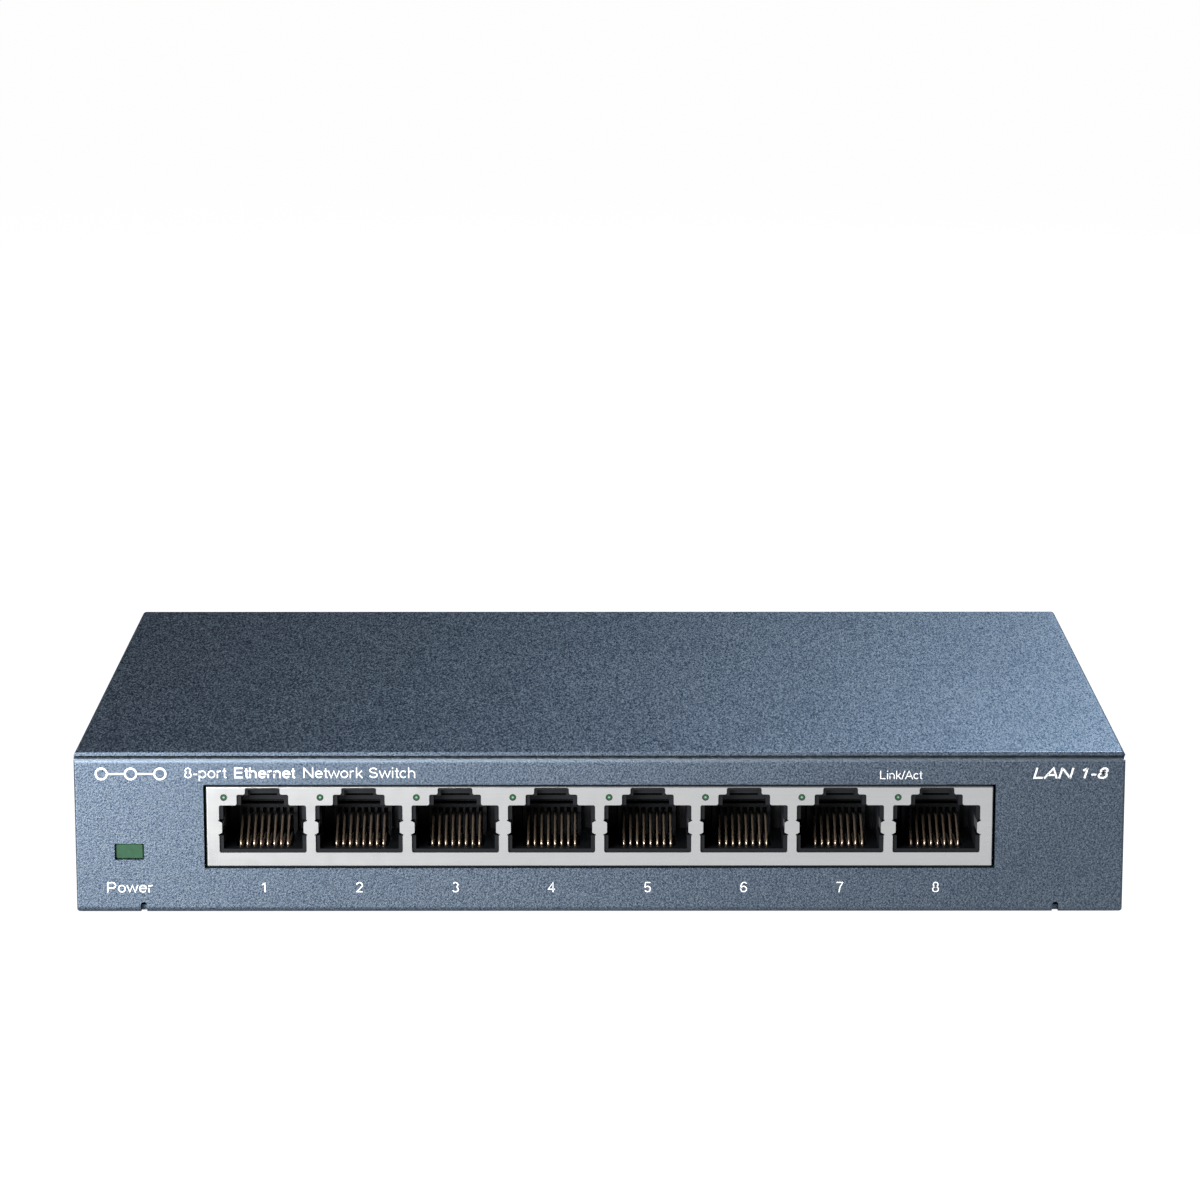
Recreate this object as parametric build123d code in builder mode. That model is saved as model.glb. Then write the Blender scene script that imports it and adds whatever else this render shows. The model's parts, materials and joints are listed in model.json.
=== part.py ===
from build123d import *
import os

# Desktop network switch: eight modular sockets in a folded sheet-steel case.
# Millimetres. X points right as seen from the front, the front faces -Y, Z is up.
# The origin is on the desk, under the centre of the case.

os.makedirs("parts", exist_ok=True)

# ---------------------------------------------------------------- driving sizes
# Case
case_width = 158.0
case_depth = 101.0
case_height = 25.0
sheet = 0.8
lid_sheet = 0.6
fold_radius = 0.5
seam = 0.3
side_gap = 0.2
flange = 4.0
plan_corner = 0.35
front_corner = 0.7
lid_edge_radius = 0.25
relief_x = 68.9
relief_width = 0.95
relief_height = 1.62
foot_height = 1.5
foot_radius = 5.0
foot_inset_x = 15.0
foot_inset_y = 14.5
foot_bevel = 0.4
label_size = (62.0, 34.0)
label_y = -22.0
label_corner = 1.5
label_thickness = 0.15

# Socket row
port_count = 8
port_pitch = 14.5
shield_sheet = 0.25
shield_width = 118.5
shield_height = 12.3
shield_bottom = 8.76
shield_depth = 14.0
shield_recess = 0.3
shield_corner = 0.24
shield_leg_width = 1.4
window_gap = 0.35
opening_floor = 10.76
opening_width = 13.14
opening_height = 7.37
latch_step_width = 7.8
latch_step_top = 19.8
key_step_width = 5.24
key_step_top = 20.84
opening_corner = 0.3

# Plastic cavity behind each opening
cavity_width = 11.9
cavity_floor = 11.3
cavity_top = 18.1
cavity_depth = 12.5
latch_cavity_width = 6.5
latch_cavity_top = 19.6
latch_cavity_depth = 4.0
key_cavity_width = 4.4
key_cavity_top = 20.45
key_cavity_depth = 1.6
latch_groove_depth = 1.5
latch_groove_range = (18.7, 19.02)
housing_depth = 16.9

# Sprung contacts
contact_count = 8
contact_pitch = 1.016
wire_width = 0.4
wire_thickness = 0.3
hinge_setback = 3.6
hinge_height = 11.3
hinge_radius = 0.75
spring_slope = 32.0
spring_length = 5.0
tip_slope = -8.0
tip_length = 4.4
pin_rows = (13.6, 15.6)
solder_tip = 5.6

# Link lamps
lamp_offset = -5.82
lamp_height = 19.35
lamp_radius = 0.52

# Power lamp
power_x = -70.9
power_z = 11.0
power_window = (4.46, 2.5)
power_lens = (3.9, 2.1)
power_lens_recess = 0.35
power_window_corner = 0.2
guide_flange = (6.2, 3.8)
guide_flange_corner = 0.5
led_lead_pitch = 2.54
led_lead_width = 0.5

# Circuit board
board_thickness = 1.6
board_lift = 4.5
board_width = 152.0
board_corner = 1.0
board_margin_front = 1.3
board_margin_rear = 2.1
board_screw_radius = 1.45
board_screw_length = 5.0
board_screw_head = (2.8, 1.8)
standoff_flats = 5.5
dc_solder_slot = (3.4, 1.0)

# Rear wall
dc_x = -58.0
dc_size = (9.0, 14.0, 11.0)
dc_bore_radius = 3.15
dc_bore_depth = 9.5
dc_pin_radius = 1.0
dc_shank_radius = 1.3
dc_tail_width = 2.2
dc_top_corner = 1.5
wall_opening_corner = 0.6
lock_x = 56.0
lock_size = (7.0, 3.0)
cover_screw_x = 72.5
cover_screw_z = 14.5
cover_screw_radius = 1.45
cover_screw_length = 6.0
cover_screw_head = (2.7, 1.2)
cross_width = 0.6
lid_tab_width = 11.0
lid_tab_height = 9.0

# Wall-mount keyholes
keyhole_spacing = 100.0
keyhole_radius = 3.75
keyhole_slot = 4.0
keyhole_travel = 7.0

# Side vents
vent_count = 16
vent_pitch = 4.4
vent_width = 1.6
vent_height = 13.0

# ---------------------------------------------------------------- derived sizes
front = -case_depth / 2
rear = case_depth / 2
side = case_width / 2
case_bottom = foot_height
case_top = case_bottom + case_height
base_top = case_bottom + sheet
lid_underside = case_top - lid_sheet
wall_return = 1.1
board_bottom = base_top + board_lift
board_top = board_bottom + board_thickness
board_front = front + board_margin_front
board_rear = rear - board_margin_rear
part_gap = 0.05

front_plane = Plane.XZ.offset(-front)
rear_plane = Plane.XZ.offset(-rear)

shield_face = front + shield_recess
shield_top = shield_bottom + shield_height
shield_side = shield_width / 2
port_centres = [(index - (port_count - 1) / 2) * port_pitch for index in range(port_count)]
wire_offsets = [(index - (contact_count - 1) / 2) * contact_pitch for index in range(contact_count)]

housing_face = shield_face + shield_sheet + part_gap
housing_back = shield_face + housing_depth
housing_bottom = board_top + part_gap
housing_top = shield_top - shield_sheet - part_gap
housing_side = shield_side - shield_sheet - 0.1
trough_width = 8.6
trough_floor = 9.9
trough_front = shield_face + 2.1
comb_face = shield_face + 11.3
comb_width = 8.9
comb_top = 15.45
comb_clearance = 0.15
comb_slot_width = 0.66
comb_slot_depth = 1.7
comb_slot_top = 14.9
tail_slot_width = 0.56
tail_slot_top = 11.0
wire_corner = 0.8
tail_corner = 0.4

tab_height = 2.02
tab_z = 14.65
tab_inset = 0.43
tab_length = 5.0
tab_bevel = 0.25
tab_clearance = 0.25
tab_relief = 0.22

hinge_y = shield_face + hinge_setback
tail_z = hinge_height - hinge_radius

peg_x = 2 * port_pitch
peg_y = shield_face + 9.2
peg_radius = 1.1
peg_length = 2.4
leg_y = shield_face + 10.2

dc_width, dc_length, dc_height = dc_size
dc_face = rear + 0.4
dc_back = dc_face - dc_length
dc_axis_z = board_top + 6.5
dc_pin_back = dc_back - 0.4

standoff_spots = [(x, y) for x in (-69.0, 69.0) for y in (-28.0, 36.0)]
foot_spots = [
    (x * (side - foot_inset_x), y * (rear - foot_inset_y)) for x in (-1, 1) for y in (-1, 1)
]


def block(x_range, y_range, z_range, mode=Mode.ADD):
    """Box between two corners, in the part being built."""
    ranges = (x_range, y_range, z_range)
    with Locations(tuple((low + high) / 2 for low, high in ranges)):
        Box(*(high - low for low, high in ranges), mode=mode)


def port_blocks(width, y_range, z_range, mode=Mode.SUBTRACT, offset=0.0):
    """The same box at every socket, each centred on its socket plus an offset in X."""
    y_middle = sum(y_range) / 2
    z_middle = sum(z_range) / 2
    with Locations(*[(x + offset, y_middle, z_middle) for x in port_centres]):
        Box(width, y_range[1] - y_range[0], z_range[1] - z_range[0], mode=mode)


# ---------------------------------------------------------------- case
with BuildPart() as chassis_base:
    # Bottom, front wall and rear wall are one folded sheet, with a flange along each top edge.
    wall_y = rear - sheet / 2
    flange_z = lid_underside - seam - sheet / 2
    bottom_z = case_bottom + sheet / 2
    with BuildSketch(Plane.YZ):
        with BuildLine():
            FilletPolyline(
                (flange - wall_y, flange_z),
                (-wall_y, flange_z),
                (-wall_y, bottom_z),
                (wall_y, bottom_z),
                (wall_y, flange_z),
                (wall_y - flange, flange_z),
                radius=fold_radius,
            )
        trace(line_width=sheet)
    extrude(amount=side, both=True)

    # The lid's side walls stand beside the bottom sheet, between the front and rear walls.
    side_strip = lid_sheet + side_gap
    with Locations(*[(x * (side - side_strip / 2), 0, case_height / 2) for x in (-1, 1)]):
        Box(side_strip, case_depth - 2 * wall_return, 2 * case_height, mode=Mode.SUBTRACT)

    # Rounded corners, seen from above and from the front.
    with BuildSketch(Plane.XY):
        RectangleRounded(case_width, case_depth, plan_corner)
    extrude(amount=case_top, mode=Mode.INTERSECT)
    with BuildSketch(Plane.XZ):
        with Locations((0, (case_bottom + case_top) / 2)):
            RectangleRounded(case_width, case_height, front_corner)
    extrude(amount=case_depth, both=True, mode=Mode.INTERSECT)

    # Front wall: socket window, power lamp window and two bend reliefs.
    with BuildSketch(front_plane):
        with Locations((0, shield_bottom + shield_height / 2)):
            Rectangle(shield_width + 2 * window_gap, shield_height + 2 * window_gap)
        with Locations((power_x, power_z)):
            RectangleRounded(*power_window, power_window_corner)
        with Locations((-relief_x, case_bottom), (relief_x, case_bottom)):
            SlotOverall(2 * relief_height, relief_width, rotation=90)
    extrude(amount=2 * sheet, both=True, mode=Mode.SUBTRACT)

    # Rear wall: DC inlet, lock slot and two screw holes.
    with BuildSketch(rear_plane):
        with Locations((dc_x, board_top + dc_height / 2)):
            RectangleRounded(
                dc_width + 2 * window_gap, dc_height + 2 * window_gap, wall_opening_corner
            )
        with Locations((lock_x, cover_screw_z)):
            SlotOverall(*lock_size)
        with Locations((-cover_screw_x, cover_screw_z), (cover_screw_x, cover_screw_z)):
            Circle(cover_screw_radius + 0.25)
    extrude(amount=2 * sheet, both=True, mode=Mode.SUBTRACT)

    # Bottom: two keyholes for wall screws.
    with BuildSketch(Plane.XY.offset(case_bottom)):
        with Locations((-keyhole_spacing / 2, 0), (keyhole_spacing / 2, 0)):
            Circle(keyhole_radius)
        with Locations(
            (-keyhole_spacing / 2, keyhole_travel / 2), (keyhole_spacing / 2, keyhole_travel / 2)
        ):
            SlotCenterToCenter(keyhole_travel, keyhole_slot, rotation=90)
    extrude(amount=2 * sheet, both=True, mode=Mode.SUBTRACT)
chassis_base.part.label = "chassis_base"
export_step(chassis_base.part, "parts/chassis_base.step")

with BuildPart() as top_cover:
    # Top and both side walls are one folded sheet.
    side_x = side - lid_sheet / 2
    side_foot = case_bottom + 0.1
    lid_z = case_top - lid_sheet / 2
    with BuildSketch(Plane.XZ):
        with BuildLine():
            FilletPolyline(
                (-side_x, side_foot),
                (-side_x, lid_z),
                (side_x, lid_z),
                (side_x, side_foot),
                radius=fold_radius,
            )
        trace(line_width=lid_sheet)
    extrude(amount=rear, both=True)

    # The side walls stop short of the front and rear walls of the base.
    for end in (-1, 1):
        with Locations((0, end * rear, lid_underside / 2)):
            Box(2 * case_width, 2 * wall_return, lid_underside, mode=Mode.SUBTRACT)
    with BuildSketch(Plane.XY):
        RectangleRounded(case_width, case_depth, plan_corner)
    extrude(amount=case_top, mode=Mode.INTERSECT)

    # The cut edges at the front and rear are rounded at the top.
    with BuildSketch(Plane.YZ):
        Rectangle(case_depth, 2 * case_top)
        fillet(vertices().group_by(Axis.Y)[-1], radius=lid_edge_radius)
    extrude(amount=side, both=True, mode=Mode.INTERSECT)

    # Cooling slots through both side walls.
    with BuildSketch(Plane.YZ):
        with Locations((0, (case_bottom + case_top) / 2)):
            with GridLocations(vent_pitch, 0, vent_count, 1):
                SlotOverall(vent_height, vent_width, rotation=90)
    extrude(amount=case_width, both=True, mode=Mode.SUBTRACT)

    # Tapped tabs behind the rear wall take the two screws.
    tab_back = rear - wall_return
    tab_heights = (cover_screw_z - lid_tab_height / 2, cover_screw_z + lid_tab_height / 2)
    for end in (-1, 1):
        tab_x = (end * (side_x - lid_tab_width), end * side_x)
        block(sorted(tab_x), (tab_back - lid_sheet, tab_back), tab_heights)
    with BuildSketch(rear_plane):
        with Locations((-cover_screw_x, cover_screw_z), (cover_screw_x, cover_screw_z)):
            Circle(cover_screw_radius + part_gap)
    extrude(amount=3 * sheet, mode=Mode.SUBTRACT)
top_cover.part.label = "top_cover"
export_step(top_cover.part, "parts/top_cover.step")

with BuildPart() as cover_screws:
    # Two pan-head screws that enter from the rear.
    head_radius, head_height = cover_screw_head
    screw_spots = [(-cover_screw_x, cover_screw_z), (cover_screw_x, cover_screw_z)]
    with BuildSketch(rear_plane):
        with Locations(*screw_spots):
            Circle(head_radius)
    extrude(amount=-head_height)
    with BuildSketch(rear_plane):
        with Locations(*screw_spots):
            Circle(cover_screw_radius)
    extrude(amount=cover_screw_length)
    fillet(faces().sort_by(Axis.Y)[-2:].edges(), radius=0.6 * head_height)
    with BuildSketch(Plane.XZ.offset(-rear - head_height)):
        with Locations(*screw_spots):
            Rectangle(head_radius, cross_width)
            Rectangle(cross_width, head_radius)
    extrude(amount=0.7 * head_height, mode=Mode.SUBTRACT)
cover_screws.part.label = "cover_screws"
export_step(cover_screws.part, "parts/cover_screws.step")

for number, (foot_x, foot_y) in enumerate(foot_spots, start=1):
    with BuildPart() as rubber_foot:
        with BuildSketch(Plane.XY):
            with Locations((foot_x, foot_y)):
                Circle(foot_radius)
        extrude(amount=foot_height)
        chamfer(edges().group_by(Axis.Z)[0], length=foot_bevel)
    rubber_foot.part.label = f"rubber_foot_{number}"
    export_step(rubber_foot.part, f"parts/rubber_foot_{number}.step")

with BuildPart() as rating_label:
    with BuildSketch(Plane.XY.offset(case_bottom)):
        with Locations((0, label_y)):
            RectangleRounded(*label_size, label_corner)
    extrude(amount=-label_thickness)
rating_label.part.label = "rating_label"
export_step(rating_label.part, "parts/rating_label.step")

# ---------------------------------------------------------------- socket row
with BuildPart() as jack_shield:
    # Front plate, top and two sides; the rear and the bottom are open.
    block(
        (-shield_side, shield_side),
        (shield_face, shield_face + shield_depth),
        (shield_bottom, shield_top),
    )
    fillet(edges().filter_by(Axis.Z).group_by(Axis.Y)[0], radius=shield_corner)
    fillet(edges().filter_by(Axis.Y).group_by(Axis.Z)[-1], radius=shield_corner)
    block(
        (shield_sheet - shield_side, shield_side - shield_sheet),
        (shield_face + shield_sheet, shield_face + 2 * shield_depth),
        (0, shield_top - shield_sheet),
        mode=Mode.SUBTRACT,
    )

    # Stepped socket openings and round lamp holes.
    with BuildSketch(Plane.XZ.offset(-shield_face)):
        for x in port_centres:
            with Locations((x, opening_floor)):
                Rectangle(opening_width, opening_height, align=(Align.CENTER, Align.MIN))
                for step_width, step_top in (
                    (latch_step_width, latch_step_top),
                    (key_step_width, key_step_top),
                ):
                    Rectangle(step_width, step_top - opening_floor, align=(Align.CENTER, Align.MIN))
        fillet(vertices(), radius=opening_corner)
        with Locations(*[(x + lamp_offset, lamp_height) for x in port_centres]):
            Circle(lamp_radius)
    extrude(amount=2 * shield_sheet, both=True, mode=Mode.SUBTRACT)

    # Two ground tabs in each socket, folded back from the edges of the opening.
    opening_edge = opening_width / 2
    tab_root = opening_edge + tab_relief
    tab_edge = opening_edge - tab_inset
    tab_low = tab_z - tab_height / 2
    tab_high = tab_z + tab_height / 2
    for end in (-1, 1):
        with Locations(
            *[
                (x + end * opening_edge, shield_face, z)
                for x in port_centres
                for z in (tab_low - tab_relief / 2, tab_high + tab_relief / 2)
            ]
        ):
            Box(tab_relief, 4 * shield_sheet, tab_relief, mode=Mode.SUBTRACT)
        with BuildSketch(Plane.XZ.offset(-shield_face)):
            for x in port_centres:
                with BuildLine():
                    Polyline(
                        (x + end * tab_root, tab_low),
                        (x + end * opening_edge, tab_low),
                        (x + end * tab_edge, tab_low + tab_bevel),
                        (x + end * tab_edge, tab_high - tab_bevel),
                        (x + end * opening_edge, tab_high),
                        (x + end * tab_root, tab_high),
                        close=True,
                    )
                make_face()
        extrude(amount=-shield_sheet)
        port_blocks(
            shield_sheet,
            (shield_face, shield_face + tab_length),
            (tab_low + tab_bevel, tab_high - tab_bevel),
            mode=Mode.ADD,
            offset=end * (tab_edge + shield_sheet / 2),
        )

    # Solder legs at both ends.
    leg_top = shield_bottom + 1
    for leg_side in (-shield_side, shield_side - shield_sheet):
        block(
            (leg_side, leg_side + shield_sheet),
            (leg_y - shield_leg_width / 2, leg_y + shield_leg_width / 2),
            (solder_tip, leg_top),
        )
jack_shield.part.label = "jack_shield"
export_step(jack_shield.part, "parts/jack_shield.step")

with BuildPart() as jack_housing:
    # One moulding with eight stepped cavities.
    block((-housing_side, housing_side), (housing_face, housing_back), (housing_bottom, housing_top))
    mouth = housing_face - 1
    port_blocks(cavity_width, (mouth, shield_face + cavity_depth), (cavity_floor, cavity_top))
    latch_back = shield_face + latch_cavity_depth
    port_blocks(latch_cavity_width, (mouth, latch_back), (cavity_floor, latch_cavity_top))
    key_back = shield_face + key_cavity_depth
    port_blocks(key_cavity_width, (mouth, key_back), (cavity_floor, key_cavity_top))
    groove_back = latch_back + latch_groove_depth
    port_blocks(key_cavity_width, (latch_back - 1, groove_back), latch_groove_range)
    port_blocks(trough_width, (trough_front, comb_face), (trough_floor, cavity_top))
    # Rear tunnel that takes the contact comb.
    port_blocks(
        comb_width + 2 * comb_clearance,
        (comb_face - 0.1, housing_back + 1),
        (0, comb_top + comb_clearance),
    )
    # Side recesses for the ground tabs.
    port_blocks(
        opening_width - 0.04,
        (mouth, shield_face + tab_length + 0.3),
        (tab_z - tab_height / 2 - tab_clearance, tab_z + tab_height / 2 + tab_clearance),
    )
    # Channels for the light pipes, and two locating pegs under the row.
    with BuildSketch(Plane.XZ.offset(-shield_face)):
        with Locations(*[(x + lamp_offset, lamp_height) for x in port_centres]):
            Circle(lamp_radius + 0.08)
    extrude(amount=-2 * housing_depth, mode=Mode.SUBTRACT)
    with BuildSketch(Plane.XY.offset(housing_bottom)):
        with Locations((-peg_x, peg_y), (peg_x, peg_y)):
            Circle(peg_radius)
    extrude(amount=-peg_length)
jack_housing.part.label = "jack_housing"
export_step(jack_housing.part, "parts/jack_housing.step")


def wire_planes(port_x):
    """One upright plane for each contact wire of a socket."""
    return [Plane.YZ.offset(port_x + offset) for offset in wire_offsets]


def pin_y(row):
    """Distance of a row of solder pins behind the shield's face, as a place in Y."""
    return shield_face + pin_rows[row]


for number, port_x in enumerate(port_centres, start=1):
    # Each wire turns forwards into a round bend, rises to a knee and dips into the comb.
    with BuildPart() as contact_springs:
        with BuildSketch(*wire_planes(port_x)):
            with BuildLine():
                bend = CenterArc((hinge_y, hinge_height), hinge_radius, 270, spring_slope - 180)
                rise = PolarLine(bend @ 1, spring_length, spring_slope, mode=Mode.PRIVATE)
                dip = PolarLine(rise @ 1, tip_length, tip_slope, mode=Mode.PRIVATE)
                FilletPolyline(bend @ 1, rise @ 1, dip @ 1, radius=wire_corner)
            trace(line_width=wire_thickness)
        extrude(amount=wire_width / 2, both=True)
    contact_springs.part.label = f"contact_springs_{number}"
    export_step(contact_springs.part, f"parts/contact_springs_{number}.step")

    # The fixed ends run back under the springs and down through the board, in two rows.
    with BuildPart() as contact_tails:
        for row in (0, 1):
            with BuildSketch(*wire_planes(port_x)[row::2]):
                with BuildLine():
                    FilletPolyline(
                        (hinge_y, tail_z),
                        (pin_y(row), tail_z),
                        (pin_y(row), solder_tip),
                        radius=tail_corner,
                    )
                trace(line_width=wire_thickness)
            extrude(amount=wire_width / 2, both=True)
    contact_tails.part.label = f"contact_tails_{number}"
    export_step(contact_tails.part, f"parts/contact_tails_{number}.step")

    # The comb guides the free ends in slots and lets the tails pass below.
    with BuildPart() as contact_comb:
        comb_side = comb_width / 2
        block(
            (port_x - comb_side, port_x + comb_side),
            (comb_face, housing_back - 0.3),
            (housing_bottom, comb_top),
        )
        with Locations(*[(port_x + offset, comb_face, 0) for offset in wire_offsets]):
            Box(comb_slot_width, 2 * comb_slot_depth, 2 * comb_slot_top, mode=Mode.SUBTRACT)
        with Locations(*[(port_x + offset, comb_face, 0) for offset in wire_offsets]):
            Box(tail_slot_width, 4 * housing_depth, 2 * tail_slot_top, mode=Mode.SUBTRACT)
    contact_comb.part.label = f"contact_comb_{number}"
    export_step(contact_comb.part, f"parts/contact_comb_{number}.step")

# ---------------------------------------------------------------- lamps
pipe_drop_y = housing_back + 1.6
pipe_radius = lamp_radius - 0.06
pipe_bend = 1.5
led_width = 1.6
led_depth = 1.2
led_top = board_top + 0.6

with BuildPart() as link_light_pipes:
    # Clear rods from the holes in the shield to the lamps on the board.
    for x in port_centres:
        with BuildLine(Plane.YZ.offset(x + lamp_offset)):
            pipe = FilletPolyline(
                (shield_face + 0.05, lamp_height),
                (pipe_drop_y, lamp_height),
                (pipe_drop_y, led_top + 0.1),
                radius=pipe_bend,
            )
        with BuildSketch(Plane(origin=pipe @ 0, z_dir=pipe % 0)):
            Circle(pipe_radius)
        sweep()
link_light_pipes.part.label = "link_light_pipes"
export_step(link_light_pipes.part, "parts/link_light_pipes.step")

with BuildPart() as link_leds:
    led_y = (pipe_drop_y - led_depth / 2, pipe_drop_y + led_depth / 2)
    port_blocks(led_width, led_y, (board_top, led_top), Mode.ADD, lamp_offset)
link_leds.part.label = "link_leds"
export_step(link_leds.part, "parts/link_leds.step")

guide_face = front + sheet + 0.2
guide_thickness = 0.8
lens_back = guide_face + 1.4
led_size = (5.0, 4.1, 2.0)
led_front = lens_back + 0.1
led_back = led_front + led_size[1]
lead_bend = 0.6
lead_spots = [(power_x + end * led_lead_pitch / 2, led_back + 1.0) for end in (-1, 1)]

with BuildPart() as power_light_guide:
    # Rectangular lens in the window, with a flange behind the front wall.
    with BuildSketch(Plane.XZ.offset(-front - power_lens_recess)):
        with Locations((power_x, power_z)):
            RectangleRounded(*power_lens, power_window_corner)
    extrude(amount=front + power_lens_recess - lens_back)
    with BuildSketch(Plane.XZ.offset(-guide_face)):
        with Locations((power_x, power_z)):
            RectangleRounded(*guide_flange, guide_flange_corner)
    extrude(amount=-guide_thickness)
power_light_guide.part.label = "power_light_guide"
export_step(power_light_guide.part, "parts/power_light_guide.step")

with BuildPart() as power_led:
    # Rectangular lamp body with two leads bent down into the board.
    led_span, _, led_height = led_size
    block(
        (power_x - led_span / 2, power_x + led_span / 2),
        (led_front, led_back),
        (power_z - led_height / 2, power_z + led_height / 2),
    )
    for lead_x, lead_y in lead_spots:
        with BuildLine(Plane.YZ.offset(lead_x)):
            lead = FilletPolyline(
                (led_back - 0.2, power_z), (lead_y, power_z), (lead_y, solder_tip), radius=lead_bend
            )
        with BuildSketch(Plane(origin=lead @ 0, z_dir=lead % 0)):
            Rectangle(led_lead_width, led_lead_width)
        sweep()
power_led.part.label = "power_led"
export_step(power_led.part, "parts/power_led.step")

# ---------------------------------------------------------------- DC inlet
leaf_hinge_y = dc_face - 8.9
leaf_hinge_z = dc_axis_z - 3.3
leaf_bend = 0.6
leaf_width = 2.0
leaf_thickness = 0.25
leaf_root_z = leaf_hinge_z - leaf_bend
leaf_nose = (4.6, 0.25)
leaf_tip = (6.6, -0.2)
leaf_corner = 0.8
leaf_tail_y = leaf_hinge_y + 3.2
leaf_tail_corner = 0.5
bore_floor = dc_face - dc_bore_depth

with BuildPart() as dc_inlet_body:
    # Barrel socket: square face in the rear wall, bore with a slot for the leaf contact.
    block(
        (dc_x - dc_width / 2, dc_x + dc_width / 2),
        (dc_back, dc_face),
        (housing_bottom, board_top + dc_height),
    )
    fillet(edges().filter_by(Axis.Y).group_by(Axis.Z)[-1], radius=dc_top_corner)
    with BuildSketch(Plane.XZ.offset(-dc_face)):
        with Locations((dc_x, dc_axis_z)):
            Circle(dc_bore_radius)
    extrude(amount=dc_bore_depth, mode=Mode.SUBTRACT)
    with BuildSketch(Plane.XZ.offset(-dc_face)):
        with Locations((dc_x, dc_axis_z)):
            Circle(dc_shank_radius + part_gap)
    extrude(amount=2 * dc_length, mode=Mode.SUBTRACT)
    block(
        (dc_x - leaf_width / 2 - 0.3, dc_x + leaf_width / 2 + 0.3),
        (leaf_hinge_y - 1.5, dc_face - 1.2),
        (0, dc_axis_z),
        mode=Mode.SUBTRACT,
    )
    bore_rim = edges().filter_by(GeomType.CIRCLE).sort_by(Axis.Y)[-1]
    chamfer(bore_rim, length=0.4)
dc_inlet_body.part.label = "dc_inlet_body"
export_step(dc_inlet_body.part, "parts/dc_inlet_body.step")

with BuildPart() as dc_inlet_pin:
    # Centre pin on a thicker shank, with a flat solder tail behind the body.
    with BuildSketch(Plane.XZ.offset(-bore_floor)):
        with Locations((dc_x, dc_axis_z)):
            Circle(dc_pin_radius)
    extrude(amount=-(dc_bore_depth - 0.8))
    fillet(faces().sort_by(Axis.Y)[-1].edges(), radius=dc_pin_radius / 2)
    with BuildSketch(Plane.XZ.offset(-bore_floor)):
        with Locations((dc_x, dc_axis_z)):
            Circle(dc_shank_radius)
    extrude(amount=bore_floor - dc_pin_back)
    block(
        (dc_x - dc_tail_width / 2, dc_x + dc_tail_width / 2),
        (dc_pin_back - 0.4, dc_pin_back),
        (solder_tip, dc_axis_z + dc_shank_radius),
    )
dc_inlet_pin.part.label = "dc_inlet_pin"
export_step(dc_inlet_pin.part, "parts/dc_inlet_pin.step")

with BuildPart() as dc_inlet_leaf:
    # Leaf contact of the sleeve: a round bend, then a flat tongue with a raised nose.
    with BuildSketch(Plane.YZ.offset(dc_x)):
        with BuildLine():
            leaf_arc = CenterArc((leaf_hinge_y, leaf_hinge_z), leaf_bend, 270, -174)
            FilletPolyline(
                leaf_arc @ 1,
                (leaf_hinge_y + leaf_nose[0], leaf_hinge_z + leaf_bend + leaf_nose[1]),
                (leaf_hinge_y + leaf_tip[0], leaf_hinge_z + leaf_bend + leaf_tip[1]),
                radius=leaf_corner,
            )
        trace(line_width=leaf_thickness)
    extrude(amount=leaf_width / 2, both=True)
dc_inlet_leaf.part.label = "dc_inlet_leaf"
export_step(dc_inlet_leaf.part, "parts/dc_inlet_leaf.step")

with BuildPart() as dc_leaf_tail:
    # Fixed end of the leaf: a short foot below the bend and a tail down through the board.
    with BuildSketch(Plane.YZ.offset(dc_x)):
        with BuildLine():
            FilletPolyline(
                (leaf_hinge_y, leaf_root_z),
                (leaf_tail_y, leaf_root_z),
                (leaf_tail_y, solder_tip),
                radius=leaf_tail_corner,
            )
        trace(line_width=leaf_thickness)
    extrude(amount=leaf_width / 2, both=True)
dc_leaf_tail.part.label = "dc_leaf_tail"
export_step(dc_leaf_tail.part, "parts/dc_leaf_tail.step")

# ---------------------------------------------------------------- circuit board
with BuildPart() as circuit_board:
    with BuildSketch(Plane.XY.offset(board_bottom)):
        with Locations((0, (board_front + board_rear) / 2)):
            RectangleRounded(board_width, board_rear - board_front, board_corner)
        # Screw holes, peg holes, contact pins, lamp leads, shield legs and DC inlet tails.
        with Locations(*standoff_spots):
            Circle(board_screw_radius + 0.15, mode=Mode.SUBTRACT)
        with Locations((-peg_x, peg_y), (peg_x, peg_y)):
            Circle(peg_radius + 0.1, mode=Mode.SUBTRACT)
        for row in (0, 1):
            wire_xs = [x + offset for x in port_centres for offset in wire_offsets[row::2]]
            with Locations(*[(wire_x, pin_y(row)) for wire_x in wire_xs]):
                Circle(wire_width, mode=Mode.SUBTRACT)
        with Locations(*lead_spots):
            Circle(led_lead_width, mode=Mode.SUBTRACT)
        leg_x = shield_side - shield_sheet / 2
        with Locations((-leg_x, leg_y), (leg_x, leg_y)):
            Rectangle(shield_sheet + 0.55, shield_leg_width + 0.6, mode=Mode.SUBTRACT)
        with Locations((dc_x, dc_pin_back - 0.2), (dc_x, leaf_tail_y)):
            SlotOverall(*dc_solder_slot, mode=Mode.SUBTRACT)
    extrude(amount=board_thickness)
circuit_board.part.label = "circuit_board"
export_step(circuit_board.part, "parts/circuit_board.step")

with BuildPart() as board_standoffs:
    with BuildSketch(Plane.XY.offset(base_top)):
        with Locations(*standoff_spots):
            RegularPolygon(standoff_flats / 2, 6, major_radius=False)
            Circle(board_screw_radius + 0.1, mode=Mode.SUBTRACT)
    extrude(amount=board_lift)
board_standoffs.part.label = "board_standoffs"
export_step(board_standoffs.part, "parts/board_standoffs.step")

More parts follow.
